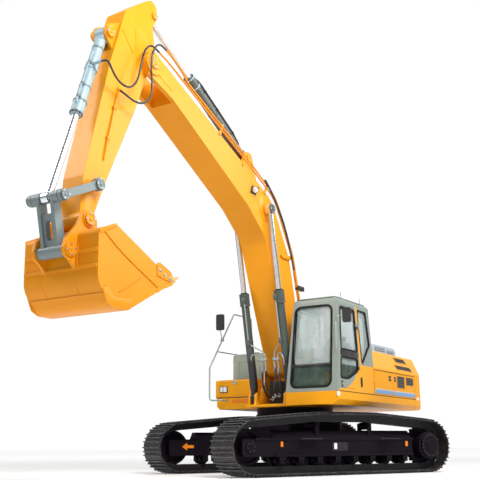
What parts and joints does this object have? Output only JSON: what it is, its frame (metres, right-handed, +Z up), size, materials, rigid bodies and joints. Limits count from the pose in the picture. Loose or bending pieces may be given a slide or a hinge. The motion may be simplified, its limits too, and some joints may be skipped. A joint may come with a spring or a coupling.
{
  "type": "crawler excavator",
  "caption": "Crawler excavator with a swinging upper structure, closed cab, boom, arm and backhoe bucket worked by cylinders and a bucket linkage",
  "frame": {"origin": "middle of the bottom of the whole machine's box, on the ground", "axes": "+Z up, -Y to the front of the upper structure and the working arm, +X to its left, where the cab is"},
  "size_m": [5.1178, 10.346, 7.6514],
  "materials": {
    "chassis_black": "satin black chassis paint",
    "chrome": "hard chrome, polished",
    "cylinder_grey": "grey paint",
    "dark_plastic": "grained plastic",
    "engine_iron": "painted casting",
    "glass": "green tinted safety glass",
    "grey_paint": "satin grey paint",
    "hose_rubber": "black rubber hose",
    "rail_grey": "grey paint",
    "seat_fabric": "woven seat cloth",
    "tooth_steel": "forged steel, painted",
    "track_steel": "dark steel worn bright on the edges",
    "yellow_paint": "satin machine enamel"
  },
  "bodies": {
    "undercarriage": {"track_left": "track_steel", "track_right": "track_steel", "track_frames": "chassis_black", "idlers": "chassis_black", "sprockets": "chassis_black", "final_drives": "chassis_black", "track_rollers": "chassis_black", "carrier_rollers": "chassis_black", "car_body": "chassis_black", "slew_ring": "chassis_black"},
    "superstructure": {"revolving_frame": "yellow_paint", "counterweight": "yellow_paint", "engine_housing": "yellow_paint", "engine_block": "engine_iron", "exhaust_pipe": "rail_grey", "hydraulic_tank": "grey_paint", "toolbox": "yellow_paint", "handrail": "rail_grey", "right_mirror": "rail_grey", "cab_shell": "grey_paint", "windscreen": "glass", "cab_glass": "glass", "roof_hatch": "glass", "operator_seat": "seat_fabric", "consoles": "dark_plastic", "left_mirror": "rail_grey"},
    "cab_door": {"cab_door": "grey_paint", "cab_door_glass": "glass"},
    "left_front_door": {"left_front_door": "yellow_paint"},
    "left_rear_door": {"left_rear_door": "yellow_paint"},
    "right_rear_door": {"right_rear_door": "yellow_paint"},
    "engine_hood": {"engine_hood": "grey_paint"},
    "toolbox_lid": {"toolbox_lid": "yellow_paint"},
    "boom": {"boom": "yellow_paint", "boom_pipes": "yellow_paint", "arm_hose_upper": "hose_rubber", "arm_hose_lower": "hose_rubber"},
    "boom_cylinder_tubes": {"boom_cylinder_tubes": "cylinder_grey"},
    "boom_cylinder_rods": {"boom_cylinder_rods": "chrome"},
    "arm_cylinder_tube": {"arm_cylinder_tube": "cylinder_grey"},
    "arm_cylinder_rod": {"arm_cylinder_rod": "chrome"},
    "arm": {"arm": "yellow_paint", "arm_pipe": "yellow_paint"},
    "bucket_cylinder_tube": {"bucket_cylinder_tube": "cylinder_grey"},
    "bucket_cylinder_rod": {"bucket_cylinder_rod": "chrome"},
    "bucket_levers": {"bucket_levers": "cylinder_grey"},
    "bucket_link": {"bucket_link": "cylinder_grey"},
    "bucket": {"bucket": "yellow_paint", "bucket_teeth": "tooth_steel"}
  },
  "joints": [
    {"name": "swing", "type": "hinge", "parent": "undercarriage", "child": "superstructure", "pos_m": [-0.00179, 1.773, 1.2], "axis": [0, 0, 1], "continuous": true},
    {"name": "cab_door_hinge", "type": "hinge", "parent": "superstructure", "child": "cab_door", "pos_m": [1.54621, 1.4805, 2.2], "axis": [0, 0, 1], "range_deg": [0, 165]},
    {"name": "left_front_door_hinge", "type": "hinge", "parent": "superstructure", "child": "left_front_door", "pos_m": [1.52821, 2.218, 1.7], "axis": [0, 0, 1], "range_deg": [-100, 0]},
    {"name": "left_rear_door_hinge", "type": "hinge", "parent": "superstructure", "child": "left_rear_door", "pos_m": [1.52821, 4.368, 1.7], "axis": [0, 0, 1], "range_deg": [0, 100]},
    {"name": "right_rear_door_hinge", "type": "hinge", "parent": "superstructure", "child": "right_rear_door", "pos_m": [-1.53179, 4.368, 1.7], "axis": [0, 0, -1], "range_deg": [0, 100]},
    {"name": "engine_hood_hinge", "type": "hinge", "parent": "superstructure", "child": "engine_hood", "pos_m": [0.26821, 3.029, 2.372], "axis": [1, 0, 0], "range_deg": [0, 60]},
    {"name": "toolbox_lid_hinge", "type": "hinge", "parent": "superstructure", "child": "toolbox_lid", "pos_m": [-1.07679, 1.879, 1.782], "axis": [-1, 0, 0], "range_deg": [0, 75]},
    {"name": "boom_hinge", "type": "hinge", "parent": "superstructure", "child": "boom", "pos_m": [-0.00179, 1.419, 1.952], "axis": [-1, 0, 0], "range_deg": [-60, 10.4]},
    {"name": "boom_cylinder_hinge", "type": "hinge", "parent": "superstructure", "child": "boom_cylinder_tubes", "pos_m": [-0.00179, 0.907, 1.384], "axis": [-1, 0, 0], "range_deg": [-61.1, 13.1]},
    {"name": "boom_rod_slide", "type": "slide", "parent": "boom_cylinder_tubes", "child": "boom_cylinder_rods", "axis": [0, -0.191, 0.9816], "range_m": [-0.788, 0.161]},
    {"name": "arm_hinge", "type": "hinge", "parent": "boom", "child": "arm", "pos_m": [-0.00179, -3.258, 6.424], "axis": [1, 0, 0], "range_deg": [-70, 28]},
    {"name": "arm_cylinder_hinge", "type": "hinge", "parent": "boom", "child": "arm_cylinder_tube", "pos_m": [-0.00179, -0.101, 5.821], "axis": [1, 0, 0], "range_deg": [-3, 3]},
    {"name": "arm_rod_slide", "type": "slide", "parent": "arm_cylinder_tube", "child": "arm_cylinder_rod", "axis": [0, -0.8813, 0.4726], "range_m": [-1.089, 0.454]},
    {"name": "bucket_hinge", "type": "hinge", "parent": "arm", "child": "bucket", "pos_m": [-0.00179, -4.599, 3.535], "axis": [1, 0, 0], "range_deg": [-125, 18]},
    {"name": "bucket_cylinder_hinge", "type": "hinge", "parent": "arm", "child": "bucket_cylinder_tube", "pos_m": [-0.00179, -4.142, 6.62], "axis": [1, 0, 0], "range_deg": [-3, 3]},
    {"name": "bucket_rod_slide", "type": "slide", "parent": "bucket_cylinder_tube", "child": "bucket_cylinder_rod", "axis": [0, -0.314, -0.9494], "range_m": [-1.141, 0.19]},
    {"name": "bucket_lever_hinge", "type": "hinge", "parent": "arm", "child": "bucket_levers", "pos_m": [-0.00179, -4.409, 4.089], "axis": [1, 0, 0], "range_deg": [-97.2, 15.7]},
    {"name": "bucket_link_hinge", "type": "hinge", "parent": "bucket_levers", "child": "bucket_link", "pos_m": [-0.00179, -5.088, 3.76], "axis": [1, 0, 0], "range_deg": [-12.3, 73.7]}
  ],
  "couplings": [
    {"joint": "boom_cylinder_hinge", "follows": "boom_hinge", "ratio": 0.96814},
    {"joint": "boom_rod_slide", "follows": "boom_hinge", "m_per_rad": 0.72338},
    {"joint": "arm_cylinder_hinge", "follows": "arm_hinge", "ratio": -0.02},
    {"joint": "arm_rod_slide", "follows": "arm_hinge", "m_per_rad": 0.86676},
    {"joint": "bucket_cylinder_hinge", "follows": "bucket_hinge", "ratio": -0.01},
    {"joint": "bucket_rod_slide", "follows": "bucket_hinge", "m_per_rad": 0.50921},
    {"joint": "bucket_lever_hinge", "follows": "bucket_hinge", "ratio": 0.76136},
    {"joint": "bucket_link_hinge", "follows": "bucket_hinge", "ratio": -0.5735}
  ]
}
